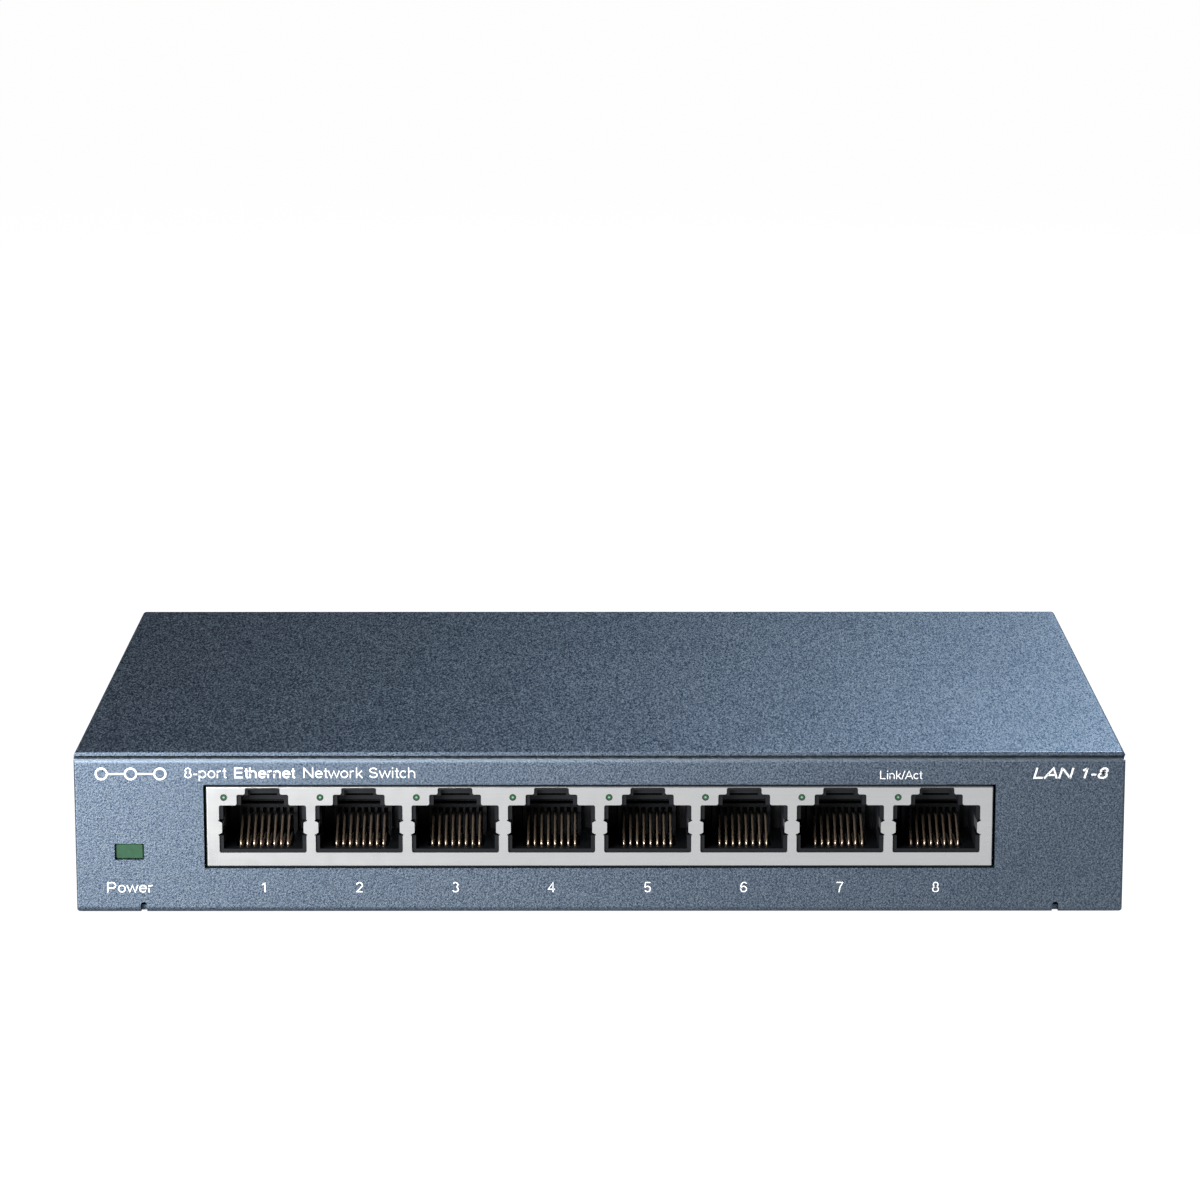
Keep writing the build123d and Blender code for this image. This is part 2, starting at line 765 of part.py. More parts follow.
with BuildPart() as board_screws:
    head_radius, head_height = board_screw_head
    with BuildSketch(Plane.XY.offset(board_top)):
        with Locations(*standoff_spots):
            Circle(head_radius)
    extrude(amount=head_height)
    fillet(edges().group_by(Axis.Z)[-1], radius=0.45 * head_height)
    with BuildSketch(Plane.XY.offset(board_top)):
        with Locations(*standoff_spots):
            Circle(board_screw_radius)
    extrude(amount=-board_screw_length)
    with BuildSketch(Plane.XY.offset(board_top + head_height)):
        with Locations(*standoff_spots):
            Rectangle(1.1 * head_radius, cross_width)
            Rectangle(cross_width, 1.1 * head_radius)
    extrude(amount=-head_height / 2, mode=Mode.SUBTRACT)
board_screws.part.label = "board_screws"
export_step(board_screws.part, "parts/board_screws.step")

# ---------------------------------------------------------------- components on the board
on_board = Plane.XY.offset(board_top)
chip_x = 6.0
chip_y = 2.0
chip_width = 16.0
chip_height = 1.3
chip_bevel = 0.25
pad_width = 14.0
pad_height = 0.4
sink_width = 28.0
sink_base = 2.0
fin_height = 8.0
fin_count = 8
fin_thickness = 1.2
eight_lead_body = (4.9, 3.9, 1.5)
lead_pitch = 1.27
small_lead_width = 0.42
memory_spot = (36.0, 4.0)
regulator_spots = [(-40.0, 14.0), (-26.0, 14.0)]
transformer_body = (17.6, 12.4, 5.8)
transformer_leads = 12
transformer_lead_width = 0.5
crystal_spot = (30.0, 16.0)
crystal_base = (11.4, 4.8, 0.5)
crystal_can = (10.4, 3.9, 3.6)
capacitor_spots = [(-40.0, 32.0), (-29.0, 32.0), (40.0, 30.0)]
capacitor_radius = 4.0
capacitor_height = 11.5
inductor_spots = [(-40.0, 3.0), (-26.0, 3.0)]
inductor_size = (7.4, 4.6)
resistor_size = (0.8, 1.6, 0.5)
resistor_pitch = 3.6
resistor_count = 26
chip_capacitor_size = (1.0, 1.8, 0.9)
chip_capacitor_pitch = (3.0, 4.0)
chip_capacitor_grid = (10, 2)
chip_capacitor_y = 24.0

with BuildPart() as switch_chip:
    with BuildSketch(on_board):
        with Locations((chip_x, chip_y)):
            Rectangle(chip_width, chip_width)
    extrude(amount=chip_height)
    chamfer(edges().group_by(Axis.Z)[-1], length=chip_bevel)
switch_chip.part.label = "switch_chip"
export_step(switch_chip.part, "parts/switch_chip.step")

with BuildPart() as thermal_pad:
    with BuildSketch(on_board.offset(chip_height)):
        with Locations((chip_x, chip_y)):
            Rectangle(pad_width, pad_width)
    extrude(amount=pad_height)
thermal_pad.part.label = "thermal_pad"
export_step(thermal_pad.part, "parts/thermal_pad.step")

with BuildPart() as heat_sink:
    with BuildSketch(on_board.offset(chip_height + pad_height)):
        with Locations((chip_x, chip_y)):
            Rectangle(sink_width, sink_width)
    extrude(amount=sink_base)
    with BuildSketch(on_board.offset(chip_height + pad_height + sink_base)):
        with Locations((chip_x, chip_y)):
            with GridLocations((sink_width - fin_thickness) / (fin_count - 1), 0, fin_count, 1):
                Rectangle(fin_thickness, sink_width)
    extrude(amount=fin_height)
heat_sink.part.label = "heat_sink"
export_step(heat_sink.part, "parts/heat_sink.step")


def gull_wing_package(centre, body, lead_count, lead_width):
    """Moulded package with a row of bent leads along both long sides, standing on the board."""
    length, width, height = body
    x, y = centre
    lead_run = (lead_count - 1) * lead_pitch / 2
    lead_planes = [Plane.YZ.offset(x - lead_run + lead * lead_pitch) for lead in range(lead_count)]
    shoulder_z = board_top + height / 3
    lead_thickness = 0.2
    lead_y = width / 2 + 3 * lead_thickness
    foot_z = board_top + lead_thickness / 2
    with BuildPart() as package:
        with BuildSketch(on_board.offset(0.15)):
            with Locations((x, y)):
                Rectangle(length, width)
        extrude(amount=height)
        for end in (-1, 1):
            with BuildSketch(*lead_planes):
                with BuildLine():
                    FilletPolyline(
                        (y + end * (width / 2 - 0.3), shoulder_z),
                        (y + end * lead_y, shoulder_z),
                        (y + end * lead_y, foot_z),
                        (y + end * (lead_y + 0.9), foot_z),
                        radius=lead_thickness,
                    )
                trace(line_width=lead_thickness)
            extrude(amount=lead_width / 2, both=True)
    return package


transformer_y = housing_back + 12.0
for number in range(1, 5):
    transformer_x = (number - 2.5) * 2 * port_pitch
    lan_transformer = gull_wing_package(
        (transformer_x, transformer_y), transformer_body, transformer_leads, transformer_lead_width
    )
    lan_transformer.part.label = f"lan_transformer_{number}"
    export_step(lan_transformer.part, f"parts/lan_transformer_{number}.step")

config_memory = gull_wing_package(memory_spot, eight_lead_body, 4, small_lead_width)
config_memory.part.label = "config_memory"
export_step(config_memory.part, "parts/config_memory.step")

with BuildPart() as voltage_regulators:
    for regulator_spot in regulator_spots:
        add(gull_wing_package(regulator_spot, eight_lead_body, 4, small_lead_width).part)
voltage_regulators.part.label = "voltage_regulators"
export_step(voltage_regulators.part, "parts/voltage_regulators.step")

with BuildPart() as crystal:
    for layer, (length, width, height) in enumerate((crystal_base, crystal_can)):
        with BuildSketch(on_board.offset(layer * crystal_base[2])):
            with Locations(crystal_spot):
                SlotOverall(length, width)
        extrude(amount=height)
    fillet(edges().group_by(Axis.Z)[-1], radius=0.5)
crystal.part.label = "crystal"
export_step(crystal.part, "parts/crystal.step")

with BuildPart() as electrolytic_capacitors:
    with BuildSketch(on_board):
        with Locations(*capacitor_spots):
            Circle(capacitor_radius)
    extrude(amount=capacitor_height)
    fillet(edges().group_by(Axis.Z)[-1], radius=0.6)
electrolytic_capacitors.part.label = "electrolytic_capacitors"
export_step(electrolytic_capacitors.part, "parts/electrolytic_capacitors.step")

with BuildPart() as power_inductors:
    with BuildSketch(on_board):
        with Locations(*inductor_spots):
            RectangleRounded(inductor_size[0], inductor_size[0], inductor_size[0] / 4)
    extrude(amount=inductor_size[1])
    chamfer(edges().group_by(Axis.Z)[-1], length=0.4)
power_inductors.part.label = "power_inductors"
export_step(power_inductors.part, "parts/power_inductors.step")

with BuildPart() as chip_resistors:
    with BuildSketch(on_board):
        with Locations((0, transformer_y + 11.0)):
            with GridLocations(resistor_pitch, 0, resistor_count, 1):
                Rectangle(*resistor_size[:2])
    extrude(amount=resistor_size[2])
chip_resistors.part.label = "chip_resistors"
export_step(chip_resistors.part, "parts/chip_resistors.step")

with BuildPart() as chip_capacitors:
    with BuildSketch(on_board):
        with Locations((chip_x, chip_capacitor_y)):
            with GridLocations(*chip_capacitor_pitch, *chip_capacitor_grid):
                Rectangle(*chip_capacitor_size[:2])
    extrude(amount=chip_capacitor_size[2])
chip_capacitors.part.label = "chip_capacitors"
export_step(chip_capacitors.part, "parts/chip_capacitors.step")
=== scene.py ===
import json
import math

import bmesh
import bpy
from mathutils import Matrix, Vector


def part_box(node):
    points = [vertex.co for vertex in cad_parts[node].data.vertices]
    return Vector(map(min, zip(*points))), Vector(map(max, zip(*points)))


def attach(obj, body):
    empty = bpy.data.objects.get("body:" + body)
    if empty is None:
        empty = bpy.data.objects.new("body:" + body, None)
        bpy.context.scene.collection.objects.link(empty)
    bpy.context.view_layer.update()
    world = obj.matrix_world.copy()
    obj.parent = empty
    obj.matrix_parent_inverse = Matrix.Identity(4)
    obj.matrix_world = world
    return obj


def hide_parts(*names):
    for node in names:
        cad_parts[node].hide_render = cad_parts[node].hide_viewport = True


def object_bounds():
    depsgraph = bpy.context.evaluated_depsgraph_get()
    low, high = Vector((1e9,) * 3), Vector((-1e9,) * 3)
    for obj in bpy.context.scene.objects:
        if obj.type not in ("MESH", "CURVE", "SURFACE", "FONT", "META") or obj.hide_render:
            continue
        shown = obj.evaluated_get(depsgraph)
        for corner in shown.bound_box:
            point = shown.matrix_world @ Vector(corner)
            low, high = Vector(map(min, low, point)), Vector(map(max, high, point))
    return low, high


# Looks of the desktop network switch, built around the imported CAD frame.
# Metres, in the CAD's own frame: X right as seen from the front, sockets face -Y, Z up.

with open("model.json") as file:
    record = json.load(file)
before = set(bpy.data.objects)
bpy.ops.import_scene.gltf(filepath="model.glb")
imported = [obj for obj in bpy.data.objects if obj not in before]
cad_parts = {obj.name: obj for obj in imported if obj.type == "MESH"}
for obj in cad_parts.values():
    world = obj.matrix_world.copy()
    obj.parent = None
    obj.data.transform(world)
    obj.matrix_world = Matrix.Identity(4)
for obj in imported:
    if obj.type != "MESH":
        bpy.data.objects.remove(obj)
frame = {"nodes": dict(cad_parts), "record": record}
cad_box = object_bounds()
MM = 0.001
CHASSIS = "chassis"

case_low, case_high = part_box("chassis_base")
FRONT_Y = case_low.y
CASE_BOTTOM = case_low.z
FOLD_TOP = case_high.z


# ---------------------------------------------------------------- node materials
class Finish:
    """A node material, with helpers for the procedural detail that the finishes share."""

    def __init__(self, name, colour, metallic=0.0, roughness=0.5):
        self.material = bpy.data.materials.new(name)
        self.material.use_nodes = True
        self.tree = self.material.node_tree
        self.shader = self.tree.nodes["Principled BSDF"]
        self.coordinates = self.node("ShaderNodeTexCoord").outputs["Object"]
        self.set("Base Color", colour)
        self.set("Metallic", metallic)
        self.set("Roughness", roughness)

    def node(self, kind, **settings):
        made = self.tree.nodes.new(kind)
        for key, value in settings.items():
            setattr(made, key, value)
        return made

    def link(self, source, target):
        self.tree.links.new(source, target)

    def set(self, socket, value):
        """Give a shader socket a plain value, or an (r, g, b) colour, or another node's output."""
        target = self.shader.inputs[socket]
        if isinstance(value, bpy.types.NodeSocket):
            self.link(value, target)
        elif isinstance(value, tuple):
            target.default_value = (*value, 1.0)
        else:
            target.default_value = value

    def place(self, stretch=(1.0, 1.0, 1.0)):
        """Object coordinates, stretched along each axis."""
        mapping = self.node("ShaderNodeMapping")
        self.link(self.coordinates, mapping.inputs["Vector"])
        mapping.inputs["Scale"].default_value = tuple(1.0 / s for s in stretch)
        return mapping.outputs["Vector"]

    def noise(self, size, detail=2.0, roughness=0.5, stretch=(1.0, 1.0, 1.0)):
        """Soft noise whose spots are about size metres across."""
        made = self.node("ShaderNodeTexNoise")
        made.inputs["Scale"].default_value = 1.0 / size
        made.inputs["Detail"].default_value = detail
        made.inputs["Roughness"].default_value = roughness
        self.link(self.place(stretch), made.inputs["Vector"])
        return made.outputs["Fac"]

    def cells(self, size, stretch=(1.0, 1.0, 1.0)):
        """A random grey for each cell of about size metres."""
        made = self.node("ShaderNodeTexVoronoi")
        made.inputs["Scale"].default_value = 1.0 / size
        self.link(self.place(stretch), made.inputs["Vector"])
        grey = self.node("ShaderNodeSeparateColor")
        self.link(made.outputs["Color"], grey.inputs["Color"])
        return grey.outputs["Red"]

    def spread(self, value, low, high, start=0.0, end=1.0):
        """Map a factor from start..end to low..high."""
        made = self.node("ShaderNodeMapRange")
        self.link(value, made.inputs["Value"])
        limits = {"From Min": start, "From Max": end, "To Min": low, "To Max": high}
        for socket, number in limits.items():
            made.inputs[socket].default_value = number
        return made.outputs["Result"]

    def blend(self, factor, colour_a, colour_b, mode="MIX"):
        """Mix two colours, each an (r, g, b) or another node's output."""
        made = self.node("ShaderNodeMix", data_type="RGBA", blend_type=mode)
        values = {0: factor, 6: colour_a, 7: colour_b}
        for index, value in values.items():
            socket = made.inputs[index]
            if isinstance(value, bpy.types.NodeSocket):
                self.link(value, socket)
            elif isinstance(value, tuple):
                socket.default_value = (*value, 1.0)
            else:
                socket.default_value = value
        return made.outputs[2]

    def maths(self, operation, first, second):
        made = self.node("ShaderNodeMath", operation=operation)
        for socket, value in zip(made.inputs, (first, second)):
            if isinstance(value, bpy.types.NodeSocket):
                self.link(value, socket)
            else:
                socket.default_value = value
        return made.outputs[0]

    def bump(self, height, depth, strength=1.0):
        """Raise the surface by up to depth metres where height is 1."""
        made = self.node("ShaderNodeBump")
        made.inputs["Strength"].default_value = strength
        made.inputs["Distance"].default_value = depth
        self.link(height, made.inputs["Height"])
        self.link(made.outputs["Normal"], self.shader.inputs["Normal"])


def shade(colour, factor):
    """A colour made lighter or darker."""
    return tuple(min(1.0, channel * factor) for channel in colour)


def case_paint():
    """Metallic blue-grey powder paint: pale rough flakes in a dark blue ground, on orange peel.

    A painted highlight makes the paint paler along the bend at the top of the front wall.
    """
    ground = (0.029, 0.044, 0.072)
    flake = (0.145, 0.176, 0.209)
    finish = Finish("case_paint", ground, metallic=1.0, roughness=0.45)
    finish.set("Specular Tint", (0.48, 0.52, 0.56))
    peel_size = 0.28 * MM
    peel_depth = 0.06 * MM
    flake_size = 0.14 * MM
    cloud_size = 18 * MM
    flow = (1.0, 3.0, 1.0)
    peel = finish.noise(peel_size, detail=3.0, roughness=0.65, stretch=flow)
    glints = finish.cells(flake_size, stretch=flow)
    cloud = finish.noise(cloud_size, detail=3.0)
    peel_cover = finish.spread(peel, 0.0, 0.75, 0.38, 0.64)
    glint_cover = finish.spread(glints, 0.0, 0.45, 0.5, 1.0)
    cover = finish.spread(finish.maths("ADD", peel_cover, glint_cover), 0.0, 1.0)
    tone = finish.blend(cover, ground, flake)
    tone = finish.blend(finish.spread(cloud, 0.0, 0.3), tone, shade(ground, 0.9))
    axes = finish.node("ShaderNodeSeparateXYZ")
    finish.link(finish.coordinates, axes.inputs["Vector"])
    height = axes.outputs["Z"]
    # Painted highlight: a thin band along the bend at the top of the front wall is painted paler.
    fold_highlight_band = finish.spread(height, 0.0, 1.0, FOLD_TOP - 0.75 * MM, FOLD_TOP - 0.3 * MM)
    below_seam = finish.maths("LESS_THAN", height, FOLD_TOP + 0.1 * MM)
    at_front = finish.maths("LESS_THAN", axes.outputs["Y"], FRONT_Y + 0.9 * MM)
    fold_highlight_mask = finish.maths("MULTIPLY", fold_highlight_band, finish.maths("MULTIPLY", below_seam, at_front))
    finish.set("Base Color", finish.blend(fold_highlight_mask, tone, shade(flake, 1.75)))
    finish.set("Roughness", finish.spread(cover, 0.38, 0.62))
    finish.bump(peel, peel_depth)
    return finish.material


def shield_metal():
    """Tinned sheet with faint rolling lines along the row of sockets."""
    tin = (0.417, 0.42, 0.422)
    finish = Finish("shield_metal", tin, metallic=0.9, roughness=0.28)
    lines = finish.noise(0.12 * MM, detail=2.0, stretch=(60.0, 1.0, 1.0))
    mottle = finish.noise(2.5 * MM, detail=2.0)
    brushed = finish.blend(lines, shade(tin, 0.92), shade(tin, 1.08))
    finish.set("Base Color", finish.blend(finish.spread(mottle, 0.0, 0.5), brushed, shade(tin, 0.92)))
    finish.set("Roughness", finish.spread(mottle, 0.24, 0.34))
    finish.bump(lines, 0.0015 * MM)
    return finish.material


def moulded_plastic(name, colour, roughness, grain=0.25 * MM, depth=0.012 * MM, shine=0.5):
    """Moulded plastic with a fine spark-eroded grain and slightly uneven gloss."""
    finish = Finish(name, colour, roughness=roughness)
    finish.set("Specular IOR Level", shine)
    texture = finish.noise(grain, detail=2.0)
    uneven = finish.noise(5 * MM, detail=2.0)
    finish.set("Base Color", finish.blend(uneven, shade(colour, 0.8), shade(colour, 1.25)))
    finish.set("Roughness", finish.spread(uneven, roughness - 0.07, roughness + 0.07))
    finish.bump(texture, depth)
    return finish.material


def bright_metal(name, colour, roughness, line_stretch=(1.0, 20.0, 1.0), metallic=1.0):
    """Plated or drawn metal with fine lines and spots of tarnish."""
    finish = Finish(name, colour, metallic=metallic, roughness=roughness)
    lines = finish.noise(0.06 * MM, detail=2.0, stretch=line_stretch)
    tarnish = finish.noise(0.8 * MM, detail=4.0)
    spots = finish.spread(tarnish, 0.0, 0.7, 0.4, 0.8)
    finish.set("Base Color", finish.blend(spots, colour, shade(colour, 0.6)))
    finish.set("Roughness", finish.spread(tarnish, roughness - 0.06, roughness + 0.12))
    finish.bump(lines, 0.004 * MM)
    return finish.material


def lamp_plastic(name, colour, glow):
    """Tinted, slightly cloudy lamp plastic that glows a little."""
    finish = Finish(name, colour, roughness=0.22)
    cloud = finish.noise(0.9 * MM, detail=3.0)
    tint = finish.blend(cloud, shade(colour, 0.75), shade(colour, 1.2))
    finish.set("Base Color", tint)
    finish.set("Emission Color", tint)
    finish.set("Emission Strength", glow)
    finish.set("Coat Weight", 0.2)
    finish.set("Specular IOR Level", 0.3)
    finish.set("Coat Roughness", 0.08)
    finish.set("Roughness", finish.spread(cloud, 0.16, 0.30))
    return finish.material


def link_lamp_plastic():
    """Ends of the light pipes: a painted highlight, a pale green spot, in the middle of a dark green
    ring, repeated at every socket.
    """
    ring = (0.004, 0.030, 0.011)
    highlight_green = (0.12, 0.24, 0.15)
    highlight_radius = 0.09 * MM
    ring_radius = 0.21 * MM
    finish = Finish("link_lamp", ring, roughness=0.20)
    axes = finish.node("ShaderNodeSeparateXYZ")
    finish.link(finish.coordinates, axes.inputs["Vector"])
    along = finish.maths("SUBTRACT", axes.outputs["X"], LAMP_X - PORT_PITCH / 2)
    across = finish.maths("SUBTRACT", finish.maths("MODULO", along, PORT_PITCH), PORT_PITCH / 2)
    above = finish.maths("SUBTRACT", axes.outputs["Z"], LAMP_Z)
    across_squared = finish.maths("MULTIPLY", across, across)
    above_squared = finish.maths("MULTIPLY", above, above)
    distance = finish.maths("SQRT", finish.maths("ADD", across_squared, above_squared), 0.0)
    cloud = finish.noise(0.3 * MM)
    wobble = finish.maths("ADD", distance, finish.spread(cloud, -0.03 * MM, 0.03 * MM))
    # Painted highlight: the middle of each pipe end is painted pale green.
    highlight_mask = finish.spread(wobble, 1.0, 0.0, highlight_radius, ring_radius)
    tint = finish.blend(highlight_mask, ring, highlight_green)
    finish.set("Base Color", tint)
    finish.set("Emission Color", tint)
    finish.set("Emission Strength", 0.06)
    finish.set("Roughness", finish.spread(cloud, 0.16, 0.28))
    return finish.material


def circuit_laminate():
    """Green solder mask with faint tracks below it."""
    mask = (0.012, 0.105, 0.045)
    track = (0.05, 0.24, 0.09)
    track_spacing = 6 * MM
    finish = Finish("board_green", mask, roughness=0.32)
    tracks = finish.node("ShaderNodeTexBrick")
    finish.link(finish.place(), tracks.inputs["Vector"])
    tracks.inputs["Scale"].default_value = 1.0 / track_spacing
    tracks.inputs["Mortar Size"].default_value = 0.035
    tracks.inputs["Mortar Smooth"].default_value = 0.1
    copper = finish.blend(tracks.outputs["Fac"], mask, track)
    weave = finish.noise(0.6 * MM, detail=2.0, stretch=(1.0, 1.0, 0.3))
    finish.set("Base Color", finish.blend(finish.spread(weave, 0.0, 0.4), copper, shade(mask, 0.7)))
    finish.set("Roughness", finish.spread(weave, 0.26, 0.40))
    finish.set("Coat Weight", 0.3)
    finish.bump(tracks.outputs["Fac"], 0.03 * MM)
    return finish.material


def foot_rubber():
    """Matt black rubber, dusty and slightly pitted."""
    rubber = (0.022, 0.022, 0.024)
    grey_dust = (0.10, 0.10, 0.10)
    finish = Finish("foot_rubber", rubber, roughness=0.82)
    pits = finish.noise(0.3 * MM, detail=4.0, roughness=0.7)
    dust = finish.noise(3 * MM, detail=3.0)
    finish.set("Base Color", finish.blend(finish.spread(dust, 0.0, 0.35, 0.4, 0.8), rubber, grey_dust))
    finish.set("Roughness", finish.spread(pits, 0.74, 0.92))
    finish.bump(pits, 0.05 * MM)
    return finish.material


def printed_white(name, colour, roughness):
    """White print or label film: slightly uneven cover and a fine grain."""
    finish = Finish(name, colour, roughness=roughness)
    cover = finish.noise(0.35 * MM, detail=3.0)
    finish.set("Base Color", finish.blend(cover, shade(colour, 0.93), shade(colour, 1.05)))
    finish.set("Roughness", finish.spread(cover, roughness - 0.08, roughness + 0.08))
    finish.bump(cover, 0.006 * MM)
    return finish.material


pipe_low, pipe_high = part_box("link_light_pipes")
PIPE_RADIUS = 0.46 * MM
LAMP_X = pipe_low.x + PIPE_RADIUS
LAMP_Z = pipe_high.z - PIPE_RADIUS
PORT_PITCH = (pipe_high.x - pipe_low.x - 2 * PIPE_RADIUS) / 7

BRIGHT_ZINC = (0.62, 0.63, 0.65)
SLEEVE_BLUE = (0.016, 0.020, 0.045)
finishes = {
    "case_paint": case_paint(),
    "shield_metal": shield_metal(),
    "jack_plastic": moulded_plastic("jack_plastic", (0.005, 0.0056, 0.007), 0.38, shine=0.13),
    "contact_gold": bright_metal("contact_gold", (0.35, 0.27, 0.20), 0.27, metallic=0.85),
    "lamp_clear": link_lamp_plastic(),
    "lamp_green": lamp_plastic("lamp_green", (0.012, 0.046, 0.022), 0.08),
    "board_green": circuit_laminate(),
    "chip_black": moulded_plastic("chip_black", (0.018, 0.018, 0.020), 0.55),
    "sink_aluminium": bright_metal("sink_aluminium", (0.09, 0.095, 0.10), 0.42, (20.0, 1.0, 1.0)),
    "component_metal": bright_metal("component_metal", (0.74, 0.74, 0.75), 0.24),
    "capacitor_sleeve": moulded_plastic("capacitor_sleeve", SLEEVE_BLUE, 0.30, depth=0.004 * MM),
    "ceramic": moulded_plastic("ceramic", (0.30, 0.20, 0.12), 0.55),
    "pad_grey": moulded_plastic("pad_grey", (0.30, 0.34, 0.42), 0.85),
    "foot_rubber": foot_rubber(),
    "screw_steel": bright_metal("screw_steel", BRIGHT_ZINC, 0.30),
    "label_white": printed_white("label_white", (0.78, 0.78, 0.77), 0.45),
}


def dress_frame():
    """Every CAD node takes the finish of its material slot."""
    for subpart in frame["record"]["subparts"]:
        node = frame["nodes"][subpart["node"]]
        for material_slot in node.material_slots:
            material_slot.material = finishes[subpart["material_slot"]]


dress_frame()


# ---------------------------------------------------------------- pieces
def add_mesh(name, mesh, slot, body=CHASSIS, material=None):
    """Put a mesh in the scene as a piece that rides on a body."""
    piece = bpy.data.objects.new(name, mesh)
    bpy.context.scene.collection.objects.link(piece)
    if not mesh.materials:
        mesh.materials.append(material or finishes[slot])
    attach(piece, body)
    return piece


# The contact wires are round here: springs to the hinge's bend, then tails down through the board.
WIRE_RADIUS = 0.18 * MM
WIRE_SIDES = 12
WIRE_PITCH = 1.016 * MM
BEND_RADIUS = 0.75 * MM
BEND_STEP = 12
SPRING_SLOPE = 32.0
SPRING_LENGTH = 5.0 * MM
KNEE_RADIUS = 0.8 * MM
TIP_SLOPE = -8.0
TIP_LENGTH = 4.4 * MM
TAIL_CORNER = 0.4 * MM
TAIL_HALF = 0.15 * MM
PIN_ROW_GAP = 2.0 * MM


def polar(start, angle, length):
    """The point at a distance from start, at an angle in degrees from +Y towards +Z."""
    turn = math.radians(angle)
    return (start[0] + length * math.cos(turn), start[1] + length * math.sin(turn))


def rounded_corner(before, corner, after, radius, steps=5):
    """Points of the arc that rounds one corner of a path in the YZ plane."""
    into = (Vector(corner) - Vector(before)).normalized()
    out = (Vector(after) - Vector(corner)).normalized()
    half_turn = into.angle(out) / 2
    reach = radius * math.tan(half_turn)
    start = Vector(corner) - into * reach
    end = Vector(corner) + out * reach
    middle = Vector(corner) + (out - into).normalized() * (radius / math.cos(half_turn))
    sweep = (start - middle).angle_signed(end - middle)
    points = []
    for step in range(steps + 1):
        turn = -sweep * step / steps
        arm = start - middle
        points.append(
            (
                middle[0] + arm[0] * math.cos(turn) - arm[1] * math.sin(turn),
                middle[1] + arm[0] * math.sin(turn) + arm[1] * math.cos(turn),
            )
        )
    return points


def skin_rings(shape, rings, closed=False, smooth=False):
    """Join rings of points into a solid, with end caps unless it closes on itself."""
    rings = [[shape.verts.new(point) for point in ring] for ring in rings]
    sides = len(rings[0])
    followers = rings[1:] + (rings[:1] if closed else [])
    for ring, following in zip(rings, followers):
        for side in range(sides):
            beside = (side + 1) % sides
            face = shape.faces.new((ring[side], ring[beside], following[beside], following[side]))
            face.smooth = smooth
    if not closed:
        shape.faces.new(list(reversed(rings[0])))
        shape.faces.new(rings[-1])


def sweep_wire(shape, path, x):
    """Add a round wire along a path of (y, z) points in the plane at x."""
    across = Vector((1.0, 0.0, 0.0))
    rings = []
    for index, (y, z) in enumerate(path):
        before = path[max(index - 1, 0)]
        after = path[min(index + 1, len(path) - 1)]
        along = Vector((0.0, after[0] - before[0], after[1] - before[1])).normalized()
        upward = along.cross(across)
        ring = []
        for side in range(WIRE_SIDES):
            turn = 2 * math.pi * side / WIRE_SIDES
            arm = math.cos(turn) * across + math.sin(turn) * upward
            ring.append(Vector((x, y, z)) + WIRE_RADIUS * arm)
        rings.append(ring)
    skin_rings(shape, rings, smooth=True)


def wire_mesh(name, paths):
    """Mesh of several wires, each given as its x and its path."""
    shape = bmesh.new()
    for x, path in paths:
        sweep_wire(shape, path, x)
    bmesh.ops.recalc_face_normals(shape, faces=shape.faces)
    mesh = bpy.data.meshes.new(name)
    shape.to_mesh(mesh)
    shape.free()
    return mesh


def contact_wires():
    """Springs and tails of every socket."""
    for joint in frame["record"]["behaviour"]["joints"]:
        if not joint["name"].startswith("contact_flex_"):
            continue
        number = joint["name"].rsplit("_", 1)[1]
        centre_x, hinge_y, hinge_z = joint["pos_m"]
        wire_xs = [centre_x + (index - 3.5) * WIRE_PITCH for index in range(8)]
        bend = [
            polar((hinge_y, hinge_z), angle, BEND_RADIUS)
            for angle in range(270, round(SPRING_SLOPE + 90), -BEND_STEP)
        ]
        bend.append(polar((hinge_y, hinge_z), SPRING_SLOPE + 90, BEND_RADIUS))
        knee = polar(bend[-1], SPRING_SLOPE, SPRING_LENGTH)
        tip = polar(knee, TIP_SLOPE, TIP_LENGTH)
        spring = bend + rounded_corner(bend[-1], knee, tip, KNEE_RADIUS) + [tip]
        name = f"spring_wires_{number}"
        springs = wire_mesh(name, [(x, spring) for x in wire_xs])
        piece = add_mesh(name, springs, "contact_gold", f"contacts_{number}")
        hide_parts(f"contact_springs_{number}")

        tail_low, tail_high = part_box(f"contact_tails_{number}")
        tails = []
        for index, x in enumerate(wire_xs):
            pin_y = tail_high.y - TAIL_HALF - (0.0 if index % 2 else PIN_ROW_GAP)
            corner = (pin_y, hinge_z - BEND_RADIUS)
            foot = (pin_y, tail_low.z)
            tails.append((x, [bend[0]] + rounded_corner(bend[0], corner, foot, TAIL_CORNER) + [foot]))
        name = f"tail_wires_{number}"
        piece = add_mesh(name, wire_mesh(name, tails), "contact_gold")
        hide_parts(f"contact_tails_{number}")


contact_wires()

# ---------------------------------------------------------------- silk-screen print
PRINT_THICKNESS = 0.02 * MM
LETTER_HEIGHT = 1.62 * MM
THIN_PEN = 0.105
BOLD_PEN = 0.155
print_paint = printed_white("print_white", (0.60, 0.61, 0.62), 0.42)


def arc(centre_x, centre_z, radius_x, radius_z, start, end, steps=14):
    """Points along part of an ellipse, angles in degrees."""
    angles = [math.radians(start + (end - start) * step / steps) for step in range(steps + 1)]
    return [(centre_x + radius_x * math.cos(a), centre_z + radius_z * math.sin(a)) for a in angles]


def oval(centre_x, centre_z, radius_x, radius_z):
    return arc(centre_x, centre_z, radius_x, radius_z, 90, 450, steps=24)


ARCH = arc(0.37, 0.40, 0.25, 0.265, 180, 0) + [(0.62, 0.0)]
LOW_STEM = [(0.12, 0.0), (0.12, 0.70)]
TALL_STEM = [(0.12, 0.0), (0.12, 1.0)]

